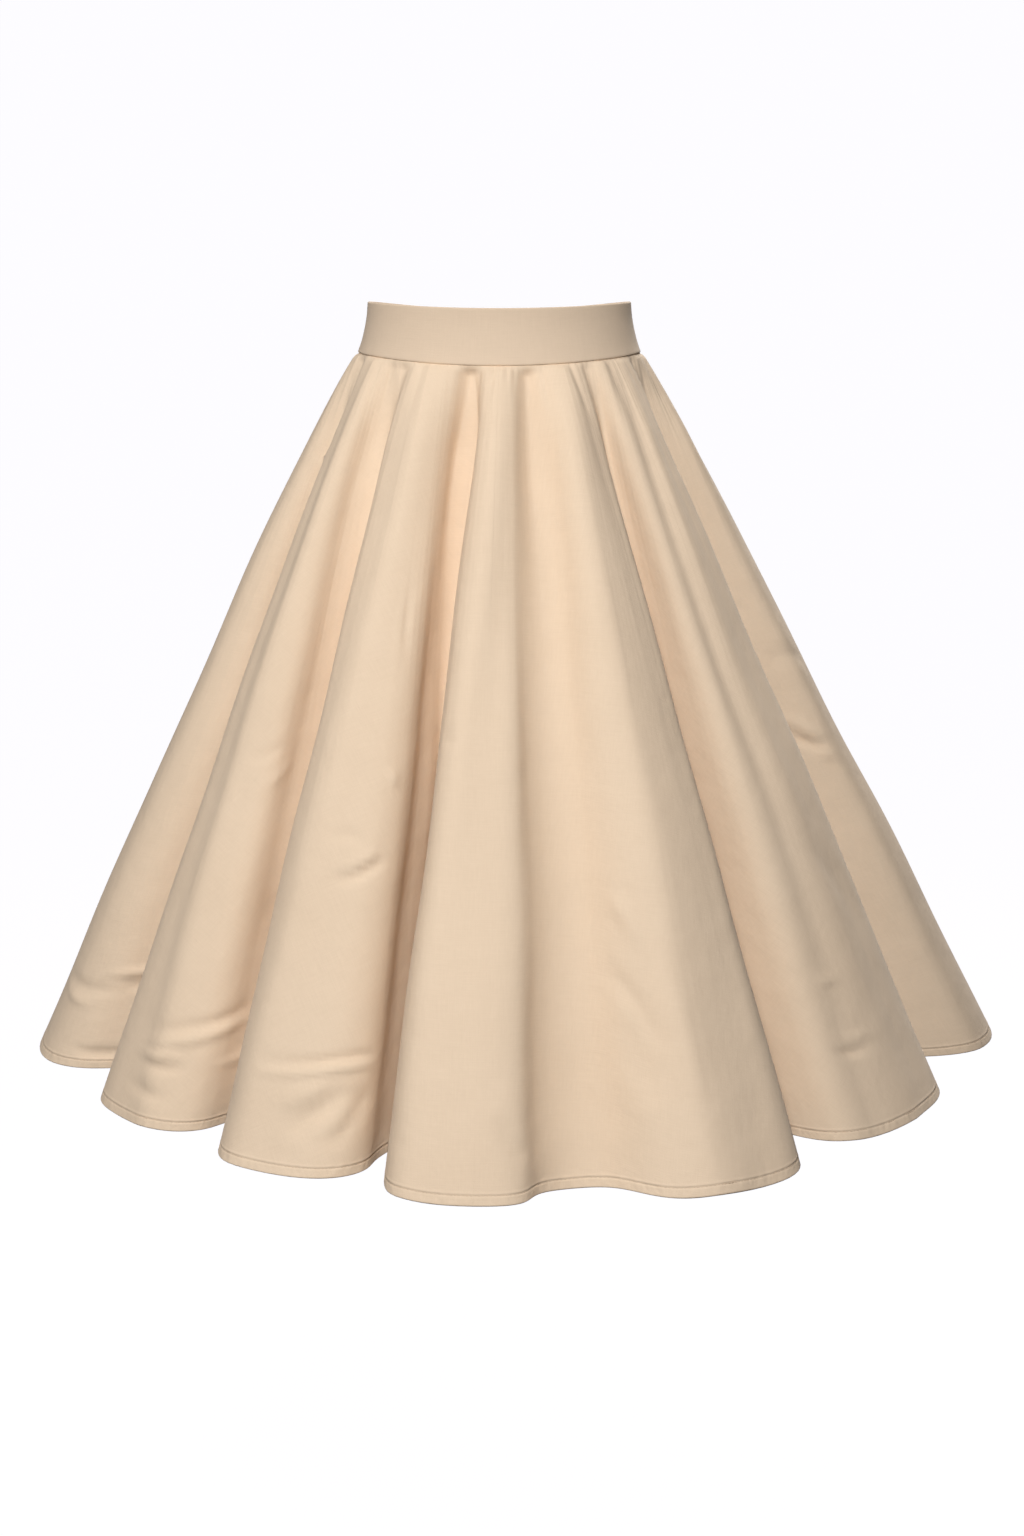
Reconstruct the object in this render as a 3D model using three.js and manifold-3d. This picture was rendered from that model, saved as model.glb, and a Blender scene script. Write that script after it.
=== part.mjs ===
// Circle skirt with a wide fitted waistband, filled out as if worn, in millimetres.
//
// Cut and sewn pieces: a half-circle front, two quarter-circle backs joined at the centre back,
// a waistband in one front and two back lengths, and a concealed zip in the centre back seam.
// +Z is up, the front faces -Y, and the origin is the middle of the waist, level with the highest
// points of the waistband's top edge. Angles are in degrees round the waist: 0 is the centre front,
// 90 the side seam at +X, 180 the centre back.

import * as THREE from 'three';
import Module from 'manifold-3d';

const wasm = await Module();
wasm.setup();

// Waistband: half width and half depth of its oval at steps down from the top edge to the seam.
const bandProfile = [
  { down: 0.0, halfWidth: 118.4, halfDepth: 84.0 },
  { down: 0.3, halfWidth: 119.6, halfDepth: 85.2 },
  { down: 0.58, halfWidth: 122.0, halfDepth: 87.6 },
  { down: 0.8, halfWidth: 124.6, halfDepth: 90.3 },
  { down: 1.0, halfWidth: 127.8, halfDepth: 93.5 },
];
const bandWall = 2.6;
const topDip = { front: 3.8, back: 9 };
const seamDrop = { side: 45, front: 53, back: 57 };

// Skirt: slant ruled lines run from the waist seam to a level hem.
const hemDrop = 690;
const skirtWall = 1.6;
const hemWall = 2.4;
const hemTurnUp = 9;
const hipFullness = { right: 5, left: 10.5, crest: 0.6 };

// The folds, ridge and valley by turns, from the ridge at the centre front round to the right.
// seam: angle where the fold leaves the waist seam. hem: its angle at the hem.
// reach: how far from the middle it lies at the hem.
// before, after: how broad its round top or bottom is, as a share of the gap to its neighbours.
const folds = [
  { seam: 0, hem: -2.5, reach: 442, before: 1.6, after: 0.7 },
  { seam: 12, hem: 10, reach: 405, before: 0.7, after: 0.45 },
  { seam: 25, hem: 23, reach: 454, before: 0.6, after: 1.55 },
  { seam: 40, hem: 39, reach: 266, before: 0.6, after: 0.45 },
  { seam: 56, hem: 61.5, reach: 430, before: 1.4, after: 1.6 },
  { seam: 73, hem: 74, reach: 272, before: 0.5, after: 0.45 },
  { seam: 90, hem: 100.5, reach: 475, before: 1.1, after: 1.1 },
  { seam: 106, hem: 113, reach: 275, before: 0.65, after: 0.65 },
  { seam: 121, hem: 127, reach: 445, before: 1.1, after: 1.2 },
  { seam: 136, hem: 140, reach: 265, before: 0.6, after: 0.65 },
  { seam: 151, hem: 153, reach: 438, before: 1.1, after: 1.1 },
  { seam: 165, hem: 167, reach: 285, before: 0.65, after: 0.65 },
  { seam: 180, hem: 181, reach: 448, before: 1.1, after: 1.1 },
  { seam: 195, hem: 195, reach: 272, before: 0.65, after: 0.6 },
  { seam: 209, hem: 208, reach: 450, before: 1.2, after: 1.1 },
  { seam: 224, hem: 221, reach: 285, before: 0.65, after: 0.65 },
  { seam: 239, hem: 233, reach: 440, before: 1.1, after: 1.1 },
  { seam: 254, hem: 247, reach: 268, before: 0.6, after: 0.65 },
  { seam: 270, hem: 263, reach: 436, before: 1.1, after: 1.25 },
  { seam: 285.5, hem: 290.5, reach: 258, before: 0.45, after: 0.55 },
  { seam: 300, hem: 301.5, reach: 401, before: 1.35, after: 1.45 },
  { seam: 315, hem: 319, reach: 250, before: 0.45, after: 0.5 },
  { seam: 330, hem: 333, reach: 413, before: 1.4, after: 1.55 },
  { seam: 350, hem: 345, reach: 256, before: 0.45, after: 0.7 },
];
const rightSideFold = 6;
const centreBackFold = 12;
const leftSideFold = 18;
const stepsPerFold = 12;
const valleyCrowding = 1.2;
const downSteps = [0, 0.05, 0.12, 0.2, 0.32, 0.47, 0.63, 0.81];

// Joins: the gap that sewn edges keep, and the wider slit that the zip slider's neck runs in.
const sewnGap = 0.3;
const zipSlit = 1.6;
const zipFootDown = 0.2;

// Zip.
const tape = { width: 11.5, wall: 0.8, clearOfEdge: 2 };
const coil = { width: 3, wall: 1.2 };
const slider = { width: 6, height: 8, wall: 3, belowEdge: 5 };
const neck = { thickness: 0.8, height: 3.2, eyeRadius: 0.9, rim: 0.8 };
const pull = { width: 4.6, length: 19, wall: 0.9, barHeight: 0.9, windowWidth: 2.6, windowHeight: 3.6 };
const pinStandOff = 1.9;

const clothFinish = { color: 0xe6cba8, roughness: 0.85, metalness: 0 };
const tapeFinish = { color: 0xdcc09c, roughness: 0.9, metalness: 0 };
const metalFinish = { color: 0xcdb491, roughness: 0.4, metalness: 0.6 };

const radians = THREE.MathUtils.degToRad;
const lerp = THREE.MathUtils.lerp;

function mesh(name, geometry, finish) {
  const made = new THREE.Mesh(geometry, new THREE.MeshStandardMaterial(finish));
  made.name = name;
  return made;
}

// A point of an upright oval, at an angle round the waist.
function onOval(halfWidth, halfDepth, angle, z) {
  return new THREE.Vector3(halfWidth * Math.sin(angle), -halfDepth * Math.cos(angle), z);
}

// A height that is one value at the sides and another at the front or the back.
function heightRound(angle, side, front, back) {
  const facing = Math.cos(angle);
  return lerp(side, facing > 0 ? front : back, facing * facing);
}

const topHeight = (angle) => -heightRound(angle, 0, topDip.front, topDip.back);
const seamHeight = (angle) => -heightRound(angle, seamDrop.side, seamDrop.front, seamDrop.back);

// The waistband's outer face: angle in radians, down from 0 at the top edge to 1 at the seam.
function bandSurface(angle, down) {
  let step = 1;
  while (step < bandProfile.length - 1 && bandProfile[step].down < down) step += 1;
  const above = bandProfile[step - 1];
  const below = bandProfile[step];
  const share = (down - above.down) / (below.down - above.down);
  const halfWidth = lerp(above.halfWidth, below.halfWidth, share);
  const halfDepth = lerp(above.halfDepth, below.halfDepth, share);
  return onOval(halfWidth, halfDepth, angle, lerp(topHeight(angle), seamHeight(angle), down));
}

// One stretch of the hem, from a fold to the next: a cubic curve whose ends run along the hem.
function hemStretch(fold, next) {
  const turn = next.hem - fold.hem + (next.hem < fold.hem - 180 ? 360 : 0);
  const start = radians(fold.hem);
  const end = radians(fold.hem + turn);
  const reach = radians(turn);
  const p0 = onOval(fold.reach, fold.reach, start, -hemDrop);
  const p3 = onOval(next.reach, next.reach, end, -hemDrop);
  const along = (angle) => new THREE.Vector3(Math.cos(angle), Math.sin(angle), 0);
  const p1 = p0.clone().addScaledVector(along(start), fold.after * reach * fold.reach);
  const p2 = p3.clone().addScaledVector(along(end), -next.before * reach * next.reach);
  return new THREE.CubicBezierCurve3(p0, p1, p2, p3);
}

// Cloth runs evenly into the waist seam, so a share of a stretch's length is the same share above.
const stretches = folds.map((fold, index) => {
  const next = folds[(index + 1) % folds.length];
  const curve = hemStretch(fold, next);
  const lengths = curve.getLengths(200);
  const turn = next.seam - fold.seam + (next.seam < fold.seam ? 360 : 0);
  const seamAngle = (share) => {
    const place = share * (lengths.length - 1);
    const low = Math.min(Math.floor(place), lengths.length - 2);
    const length = lerp(lengths[low], lengths[low + 1], place - low);
    return radians(fold.seam + (turn * length) / lengths[lengths.length - 1]);
  };
  return { curve, seamAngle };
});

// The skirt's outer face. turn counts folds from the centre front, down is 0 at the waist seam
// and 1 at the hem.
function skirtSurface(turn, down) {
  const whole = Math.floor(turn);
  const { curve, seamAngle } = stretches[((whole % folds.length) + folds.length) % folds.length];
  const hem = curve.getPoint(turn - whole);
  const angle = seamAngle(turn - whole);
  const seam = bandSurface(angle, 1);
  const fullness = lerp(hipFullness.right, hipFullness.left, (1 - Math.sin(angle)) / 2);
  const swell = fullness * Math.sin(Math.PI * Math.pow(down, hipFullness.crest));
  return seam.lerp(hem, down).add(onOval(swell, swell, angle, 0));
}

// The directions along, down and out of a surface at a point.
const probe = 0.002;
function directions(surface, across, down) {
  const before = surface(across - probe, down);
  const after = surface(across + probe, down);
  const above = surface(across, Math.max(down - probe, 0));
  const below = surface(across, Math.min(down + probe, 1));
  const along = after.sub(before).normalize();
  const fall = below.sub(above).normalize();
  const out = new THREE.Vector3().crossVectors(fall, along).normalize();
  return { along, fall, out };
}

// A closed wall between an outer and an inner grid of points. Rows run down, columns run
// anticlockwise seen from above.
function wallBetween(outer, inner) {
  const rows = outer.length;
  const columns = outer[0].length;
  const points = [...outer.flat(), ...inner.flat()];
  const out = (row, column) => row * columns + column;
  const inn = (row, column) => (rows + row) * columns + column;
  const faces = [];
  const quad = (a, b, c, d) => faces.push(a, b, c, a, c, d);
  for (let row = 0; row < rows - 1; row += 1) {
    for (let column = 0; column < columns - 1; column += 1) {
      quad(out(row, column), out(row + 1, column), out(row + 1, column + 1), out(row, column + 1));
      quad(inn(row, column), inn(row, column + 1), inn(row + 1, column + 1), inn(row + 1, column));
    }
    quad(out(row, 0), inn(row, 0), inn(row + 1, 0), out(row + 1, 0));
    const last = columns - 1;
    quad(out(row, last), out(row + 1, last), inn(row + 1, last), inn(row, last));
  }
  for (let column = 0; column < columns - 1; column += 1) {
    const end = rows - 1;
    quad(out(0, column), out(0, column + 1), inn(0, column + 1), inn(0, column));
    quad(out(end, column), inn(end, column), inn(end, column + 1), out(end, column + 1));
  }
  const geometry = new THREE.BufferGeometry().setFromPoints(points);
  geometry.setIndex(faces);
  geometry.computeVertexNormals();
  return geometry;
}

// A wall under a surface. Its end columns step in by half of the gap at the seams they meet.
function clothWall({ surface, acrossSteps, downRows, startGap, endGap, topGap }) {
  const outer = [];
  const inner = [];
  const last = acrossSteps.length - 1;
  for (const { down, wall } of downRows) {
    const outerRow = [];
    const innerRow = [];
    acrossSteps.forEach((across, column) => {
      const { along, fall, out } = directions(surface, across, down);
      const point = surface(across, down);
      if (column === 0) point.addScaledVector(along, startGap(down) / 2);
      if (column === last) point.addScaledVector(along, -endGap(down) / 2);
      if (down === 0) point.addScaledVector(fall, topGap);
      outerRow.push(point);
      innerRow.push(point.clone().addScaledVector(out, -wall));
    });
    outer.push(outerRow);
    inner.push(innerRow);
  }
  return wallBetween(outer, inner);
}

// Column places from one fold to another, closer together in the tight bends of the valleys.
function columnsBetween(firstFold, lastFold) {
  const places = [];
  for (let fold = firstFold; fold < lastFold; fold += 1) {
    for (let step = 0; step < stepsPerFold; step += 1) {
      const share = step / stepsPerFold;
      const towardsValley = 1 - Math.pow(1 - share, valleyCrowding);
      places.push(fold + (fold % 2 === 0 ? towardsValley : Math.pow(share, valleyCrowding)));
    }
  }
  return [...places, lastFold];
}

// Rows down the skirt, ending in the hem that is turned up and lies double.
function skirtRows() {
  const slant = skirtSurface(0, 0).distanceTo(skirtSurface(0, 1));
  const foldStart = 1 - hemTurnUp / slant;
  const single = [...downSteps, foldStart - 0.004].map((down) => ({ down, wall: skirtWall }));
  return [...single, { down: foldStart, wall: hemWall }, { down: 1, wall: hemWall }];
}

const sewnEdge = () => sewnGap;

// The centre back's slit is open from the waist to the zip's foot, and sewn below it.
const zipEdge = (down) => (down <= zipFootDown ? zipSlit : sewnGap);

function skirtPanel(firstFold, lastFold) {
  return clothWall({
    surface: skirtSurface,
    acrossSteps: columnsBetween(firstFold, lastFold),
    downRows: skirtRows(),
    startGap: firstFold === centreBackFold ? zipEdge : sewnEdge,
    endGap: lastFold === centreBackFold ? zipEdge : sewnEdge,
    topGap: sewnGap,
  });
}

function bandPiece(firstAngle, lastAngle, stepCount) {
  const edgeAt = (angle) => (angle === 180 ? () => zipSlit : sewnEdge);
  const acrossSteps = Array.from({ length: stepCount + 1 }, (_, step) =>
    radians(lerp(firstAngle, lastAngle, step / stepCount)));
  return clothWall({
    surface: bandSurface,
    acrossSteps,
    downRows: bandProfile.map(({ down }) => ({ down, wall: bandWall })),
    startGap: edgeAt(firstAngle),
    endGap: edgeAt(lastAngle),
    topGap: 0,
  });
}

const bandHeight = seamDrop.back - topDip.back;
const backSlant = skirtSurface(centreBackFold, 0).distanceTo(skirtSurface(centreBackFold, 1));
const zipLength = bandHeight + zipFootDown * backSlant;

// Rows down the centre back between two lengths from the waistband's top edge: both ends, and the
// rows of the waistband and the skirt between them. Each row gives a point at a small distance round
// from the centre back and at a depth under the cloth's outer face.
function centreBackRows(fromTop, toTop) {
  const ownRows = [
    ...bandProfile.map(({ down }) => down * bandHeight),
    ...downSteps.slice(1).map((down) => bandHeight + down * backSlant),
  ];
  const between = ownRows.filter((length) => length > fromTop + 1 && length < toTop - 1);
  return [fromTop, ...between, toTop].map((length) => {
    const onBand = length <= bandHeight;
    const surface = onBand ? bandSurface : skirtSurface;
    const middle = onBand ? Math.PI : centreBackFold;
    const down = onBand ? length / bandHeight : (length - bandHeight) / backSlant;
    const perStep = surface(middle - probe, down).distanceTo(surface(middle + probe, down)) / (2 * probe);
    return (round, depth) => {
      const across = middle + round / perStep;
      const { out } = directions(surface, across, down);
      return surface(across, down).addScaledVector(out, -depth);
    };
  });
}

// A strip inside the centre back, between two distances round from it.
function insideStrip({ fromTop, toTop, from, to, columns, depth, wall }) {
  const places = Array.from({ length: columns + 1 }, (_, column) => lerp(from, to, column / columns));
  const rows = centreBackRows(fromTop, toTop);
  const grid = (inward) => rows.map((place) => places.map((round) => place(round, inward)));
  return wallBetween(grid(depth), grid(depth + wall));
}

const tapeDepth = bandWall + sewnGap;
const coilDepth = tapeDepth + tape.wall + sewnGap;
const sliderFoot = slider.belowEdge + slider.height;

function zipTape(side) {
  const inner = (side * zipSlit) / 2;
  const outer = side * (zipSlit / 2 + tape.width);
  return insideStrip({
    fromTop: tape.clearOfEdge,
    toTop: zipLength + tape.width,
    from: Math.min(inner, outer),
    to: Math.max(inner, outer),
    columns: 2,
    depth: tapeDepth,
    wall: tape.wall,
  });
}

function zipCoil() {
  return insideStrip({
    fromTop: sliderFoot + sewnGap,
    toTop: zipLength,
    from: -coil.width / 2,
    to: coil.width / 2,
    columns: 2,
    depth: coilDepth,
    wall: coil.wall,
  });
}

// Solids for joining: vertices that share a place become one.
function toSolid(geometry) {
  const plain = geometry.index ? geometry.toNonIndexed() : geometry;
  const place = plain.getAttribute('position');
  const seen = new Map();
  const vertices = [];
  const triangles = [];
  for (let index = 0; index < place.count; index += 1) {
    const point = [place.getX(index), place.getY(index), place.getZ(index)];
    const key = point.map((value) => value.toFixed(4)).join();
    if (!seen.has(key)) {
      seen.set(key, vertices.length / 3);
      vertices.push(...point);
    }
    triangles.push(seen.get(key));
  }
  return new wasm.Manifold(new wasm.Mesh({
    numProp: 3,
    vertProperties: new Float32Array(vertices),
    triVerts: new Uint32Array(triangles),
  }));
}

function joined(first, second) {
  const { numProp, vertProperties, triVerts } = toSolid(first).add(toSolid(second)).getMesh();
  const geometry = new THREE.BufferGeometry();
  geometry.setAttribute('position', new THREE.BufferAttribute(new Float32Array(vertProperties), numProp));
  geometry.setIndex(new THREE.BufferAttribute(new Uint32Array(triVerts), 1));
  geometry.computeVertexNormals();
  return geometry;
}

// The place of the pull's pin, just outside the waistband.
const pinDown = (slider.belowEdge + slider.height / 2) / bandHeight;
const pin = bandSurface(Math.PI, pinDown).add(new THREE.Vector3(0, pinStandOff, 0));

// How far the waistband leans out at the centre back, from the pin's height to a length below it.
function leanBelowPin(length) {
  const high = bandSurface(Math.PI, pinDown);
  const low = bandSurface(Math.PI, pinDown + length / bandHeight);
  return Math.atan2(low.y - high.y, high.z - low.z);
}

// The slider: a block on the inside that holds the coil's top, and a thin neck out through the
// slit that ends in a round eye for the pull. Drawn from the side, y across and z up, from the pin.
function zipSlider() {
  const blockFront = -(pinStandOff + coilDepth);
  const block = new THREE.BoxGeometry(slider.width, slider.wall, slider.height);
  block.translate(0, blockFront - slider.wall / 2, 0);
  const rim = neck.eyeRadius + neck.rim;
  const rimMeets = Math.asin(neck.height / 2 / rim);
  const side = new THREE.Shape();
  side.moveTo(blockFront - 1, -neck.height / 2);
  side.absarc(0, 0, rim, -Math.PI + rimMeets, Math.PI - rimMeets, false);
  side.lineTo(blockFront - 1, neck.height / 2);
  side.closePath();
  const eye = new THREE.Path();
  eye.absarc(0, 0, neck.eyeRadius, 0, 2 * Math.PI, true);
  side.holes.push(eye);
  const plate = new THREE.ExtrudeGeometry(side, {
    depth: neck.thickness,
    bevelEnabled: false,
    curveSegments: 16,
  });
  plate.translate(0, 0, -neck.thickness / 2);
  plate.rotateX(Math.PI / 2);
  plate.rotateZ(Math.PI / 2);
  return joined(block, plate);
}

// The pull: a drop-shaped tab with a window, whose top bar is the pin in the slider's eye.
function zipPull() {
  const top = pull.barHeight / 2;
  const half = pull.width / 2;
  const foot = top - pull.length;
  const face = new THREE.Shape();
  face.moveTo(-half * 0.8, top);
  face.lineTo(half * 0.8, top);
  face.quadraticCurveTo(half, top, half, top - 1);
  face.lineTo(half * 0.7, foot * 0.45);
  face.quadraticCurveTo(half * 1.15, foot * 0.8, half * 0.8, foot + 1.2);
  face.quadraticCurveTo(0, foot - 1.2, -half * 0.8, foot + 1.2);
  face.quadraticCurveTo(-half * 1.15, foot * 0.8, -half * 0.7, foot * 0.45);
  face.lineTo(-half, top - 1);
  face.quadraticCurveTo(-half, top, -half * 0.8, top);
  const window = new THREE.Path();
  const windowTop = -pull.barHeight / 2;
  window.moveTo(-pull.windowWidth / 2, windowTop);
  window.lineTo(-pull.windowWidth / 2, windowTop - pull.windowHeight);
  window.lineTo(pull.windowWidth / 2, windowTop - pull.windowHeight);
  window.lineTo(pull.windowWidth / 2, windowTop);
  window.closePath();
  face.holes.push(window);
  const tab = new THREE.ExtrudeGeometry(face, { depth: pull.wall, bevelEnabled: false, curveSegments: 6 });
  tab.translate(0, 0, -pull.wall / 2);
  tab.rotateX(Math.PI / 2);
  return tab;
}

const skirt = new THREE.Group();
skirt.add(
  mesh('skirt_front', skirtPanel(leftSideFold - folds.length, rightSideFold), clothFinish),
  mesh('skirt_back_right', skirtPanel(rightSideFold, centreBackFold), clothFinish),
  mesh('skirt_back_left', skirtPanel(centreBackFold, leftSideFold), clothFinish),
  mesh('waistband_front', bandPiece(-90, 90, 40), clothFinish),
  mesh('waistband_back_right', bandPiece(90, 180, 20), clothFinish),
  mesh('waistband_back_left', bandPiece(180, 270, 20), clothFinish),
  mesh('zip_tape_right', zipTape(-1), tapeFinish),
  mesh('zip_tape_left', zipTape(1), tapeFinish),
  mesh('zip_coil', zipCoil(), tapeFinish),
);

const sliderMesh = mesh('zip_slider', zipSlider(), metalFinish);
sliderMesh.position.copy(pin);
sliderMesh.rotation.x = leanBelowPin(slider.height / 2);
const pullMesh = mesh('zip_pull', zipPull(), metalFinish);
pullMesh.position.copy(pin);
pullMesh.rotation.x = leanBelowPin(pull.length);
skirt.add(sliderMesh, pullMesh);

export default skirt;
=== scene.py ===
"""The looks of a beige cotton circle skirt with a wide fitted waistband and a back zip.

The skirt is filled out as if worn. +Z is up, the front faces -Y, and the origin is the middle of the
waist. Lengths of the pattern are in millimetres and become metres when a mesh is made. Angles are
in degrees round the waist: 0 is the centre front, 90 the side seam at +X, 180 the centre back.
"""

import math

import bpy
import numpy as np
from mathutils import Matrix, Vector


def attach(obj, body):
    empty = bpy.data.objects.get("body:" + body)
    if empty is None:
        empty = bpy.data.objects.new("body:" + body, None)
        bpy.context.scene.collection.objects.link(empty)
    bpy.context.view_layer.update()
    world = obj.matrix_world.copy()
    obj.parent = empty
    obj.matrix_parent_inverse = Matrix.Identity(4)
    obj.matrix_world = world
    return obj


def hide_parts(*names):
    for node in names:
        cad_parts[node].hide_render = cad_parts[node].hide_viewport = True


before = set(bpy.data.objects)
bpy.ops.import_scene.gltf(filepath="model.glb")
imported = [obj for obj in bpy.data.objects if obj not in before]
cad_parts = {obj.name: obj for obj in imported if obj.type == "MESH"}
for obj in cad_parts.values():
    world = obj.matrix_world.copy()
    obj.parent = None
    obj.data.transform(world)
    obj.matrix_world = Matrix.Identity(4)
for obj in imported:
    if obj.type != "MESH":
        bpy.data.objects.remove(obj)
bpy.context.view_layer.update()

MM = 0.001

# Waistband: half width and half depth of its oval at steps down from the top edge to the seam.
BAND_DOWN = [0.0, 0.3, 0.58, 0.8, 1.0]
BAND_HALF_WIDTH = [118.4, 119.6, 122.0, 124.6, 127.8]
BAND_HALF_DEPTH = [84.0, 85.2, 87.6, 90.3, 93.5]
BAND_WALL = 2.2
BAND_HEIGHT = 48.0
TOP_DIP = {"side": 0.0, "front": 3.8, "back": 9.0}
SEAM_DROP = {"side": 45.0, "front": 53.0, "back": 57.0}

# Skirt: slant lines run from the waist seam to a level hem, which is turned up by 9 mm.
HEM_DROP = 690.0
SLANT = 725.0
WAIST_CUT_RADIUS = 111.0
CLOTH_WALL = 0.9
HEM_WALL = 2.0
HEM_TURN_UP = 9.0
HEM_STITCH_UP = 8.2
HIP_FULLNESS = {"right": 5.0, "left": 10.5, "crest": 0.6}

# The folds, ridge and valley by turns, from the ridge at the centre front round to the right:
# the angle where each leaves the waist seam, its angle at the hem, how far out it lies at the hem,
# and how broad its round top or bottom is before and after it.
FOLDS = [
    (0, -2.5, 442, 1.6, 0.7),
    (12, 10, 405, 0.7, 0.45),
    (25, 23, 454, 0.6, 1.55),
    (40, 39, 266, 0.6, 0.45),
    (56, 61.5, 430, 1.4, 1.6),
    (73, 74, 272, 0.5, 0.45),
    (90, 100.5, 475, 1.1, 1.1),
    (106, 113, 275, 0.65, 0.65),
    (121, 127, 445, 1.1, 1.2),
    (136, 140, 265, 0.6, 0.65),
    (151, 153, 438, 1.1, 1.1),
    (165, 167, 285, 0.65, 0.65),
    (180, 181, 448, 1.1, 1.1),
    (195, 195, 272, 0.65, 0.6),
    (209, 208, 450, 1.2, 1.1),
    (224, 221, 285, 0.65, 0.65),
    (239, 233, 440, 1.1, 1.1),
    (254, 247, 268, 0.6, 0.65),
    (270, 263, 436, 1.1, 1.25),
    (285.5, 290.5, 258, 0.45, 0.55),
    (300, 301.5, 401, 1.35, 1.45),
    (315, 319, 250, 0.45, 0.5),
    (330, 333, 413, 1.4, 1.55),
    (350, 345, 256, 0.45, 0.7),
]
RIGHT_SIDE_FOLD = 6
CENTRE_BACK_FOLD = 12
LEFT_SIDE_FOLD = 18
HEM_STEPS = 200

# Zip down the centre back: lengths run down from the waistband's top edge.
ZIP_FOOT_DOWN = 0.2
ZIP_LENGTH = 192.7
HALF_SLIT = 0.8
TAPE_TOP = 2.0
TAPE_WIDTH = 11.5
TAPE_WALL = 0.8
TAPE_DEPTH = 2.9
TEETH_TOP = 13.3
TEETH_DEPTH = 4.6
PIN = (0.0, 86.65, -18.0)
PIN_LENGTH = 9.0
PIN_STAND_OFF = 1.9


# Shapes of the cloth


def between(start, end, share):
    return start + (end - start) * share


def on_oval(half_width, half_depth, angle, height):
    """Points of an upright oval, at angles in radians round the waist."""
    points = np.broadcast_arrays(half_width * np.sin(angle), -half_depth * np.cos(angle), height)
    return np.stack(points, axis=-1)


def height_round(angle, drop):
    """A height below the origin that differs at the sides, the front and the back."""
    facing = np.cos(angle)
    middle = np.where(facing > 0, drop["front"], drop["back"])
    return -between(drop["side"], middle, facing**2)


def soft_steps(place, steps, values):
    """A smooth curve through values at steps."""
    slopes = np.gradient(np.array(values, float), np.array(steps, float))
    index = np.clip(np.searchsorted(steps, place, side="right") - 1, 0, len(steps) - 2)
    steps, values = np.array(steps, float), np.array(values, float)
    width = steps[index + 1] - steps[index]
    share = (place - steps[index]) / width
    rise = values[index + 1] - values[index]
    turn_in = slopes[index] * width - rise
    turn_out = rise - slopes[index + 1] * width
    blend = (1 - share) * turn_in + share * turn_out
    return values[index] + share * rise + share * (1 - share) * blend


def band_surface(angle, down):
    """The waistband's outer face: down is 0 at the top edge and 1 at the seam."""
    half_width = soft_steps(down, BAND_DOWN, BAND_HALF_WIDTH)
    half_depth = soft_steps(down, BAND_DOWN, BAND_HALF_DEPTH)
    height = between(height_round(angle, TOP_DIP), height_round(angle, SEAM_DROP), down)
    return on_oval(half_width, half_depth, angle, height)


def along_hem(angle):
    return np.stack([np.cos(angle), np.sin(angle), np.zeros_like(angle)], axis=-1)


def hem_curves():
    """The hem from fold to fold: cubic curves with their lengths, and the seam above each."""
    table = np.array(FOLDS, float)
    after = np.roll(table, -1, axis=0)
    start = np.radians(table[:, 1])
    turn = np.radians((after[:, 1] - table[:, 1]) % 360)
    end = start + turn
    first = on_oval(table[:, 2], table[:, 2], start, -HEM_DROP)
    last = on_oval(after[:, 2], after[:, 2], end, -HEM_DROP)
    out_of_first = along_hem(start) * (table[:, 4] * turn * table[:, 2])[:, None]
    into_last = along_hem(end) * (after[:, 3] * turn * after[:, 2])[:, None]
    curves = np.stack([first, first + out_of_first, last - into_last, last], axis=1)
    shares = np.broadcast_to(np.linspace(0, 1, HEM_STEPS + 1), (len(FOLDS), HEM_STEPS + 1))
    points = on_curve(curves[:, None], shares)
    steps = np.linalg.norm(np.diff(points, axis=1), axis=2)
    lengths = np.concatenate([np.zeros((len(FOLDS), 1)), np.cumsum(steps, axis=1)], axis=1)
    seam_turn = (after[:, 0] - table[:, 0]) % 360
    return curves, lengths, table[:, 0], seam_turn


def on_curve(curve, share):
    """Points on cubic curves given by four points each."""
    share = share[..., None]
    back = 1 - share
    ends = back**3 * curve[..., 0, :] + share**3 * curve[..., 3, :]
    middle = back * curve[..., 1, :] + share * curve[..., 2, :]
    return ends + 3 * back * share * middle


HEM_CURVES, HEM_LENGTHS, SEAM_START, SEAM_TURN = hem_curves()


def hem_length(turn):
    """The length round the hem from the fold that the stretch at turn starts with."""
    whole = np.floor(turn).astype(int)
    place = (turn - whole) * HEM_STEPS
    low = np.clip(np.floor(place).astype(int), 0, HEM_STEPS - 1)
    stretch = whole % len(FOLDS)
    lengths = HEM_LENGTHS[stretch, low]
    return stretch, between(lengths, HEM_LENGTHS[stretch, low + 1], place - low)


def seam_angle(turn):
    stretch, length = hem_length(turn)
    return np.radians(SEAM_START[stretch] + SEAM_TURN[stretch] * length / HEM_LENGTHS[stretch, -1])


def skirt_surface(turn, down):
    """The skirt's smooth outer face: turn counts folds from the centre front, down is 0 at the
    waist seam and 1 at the hem."""
    whole = np.floor(turn).astype(int)
    angle = seam_angle(turn)
    hem = on_curve(HEM_CURVES[whole % len(FOLDS)], turn - whole)
    seam = band_surface(angle, np.ones_like(angle))
    fullness = between(HIP_FULLNESS["right"], HIP_FULLNESS["left"], (1 - np.sin(angle)) / 2)
    swell = fullness * np.sin(np.pi * np.clip(down, 0, 1) ** HIP_FULLNESS["crest"])
    return between(seam, hem, down[..., None]) + on_oval(swell, swell, angle, 0.0)


def unit(vectors):
    return vectors / np.linalg.norm(vectors, axis=-1, keepdims=True)


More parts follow.
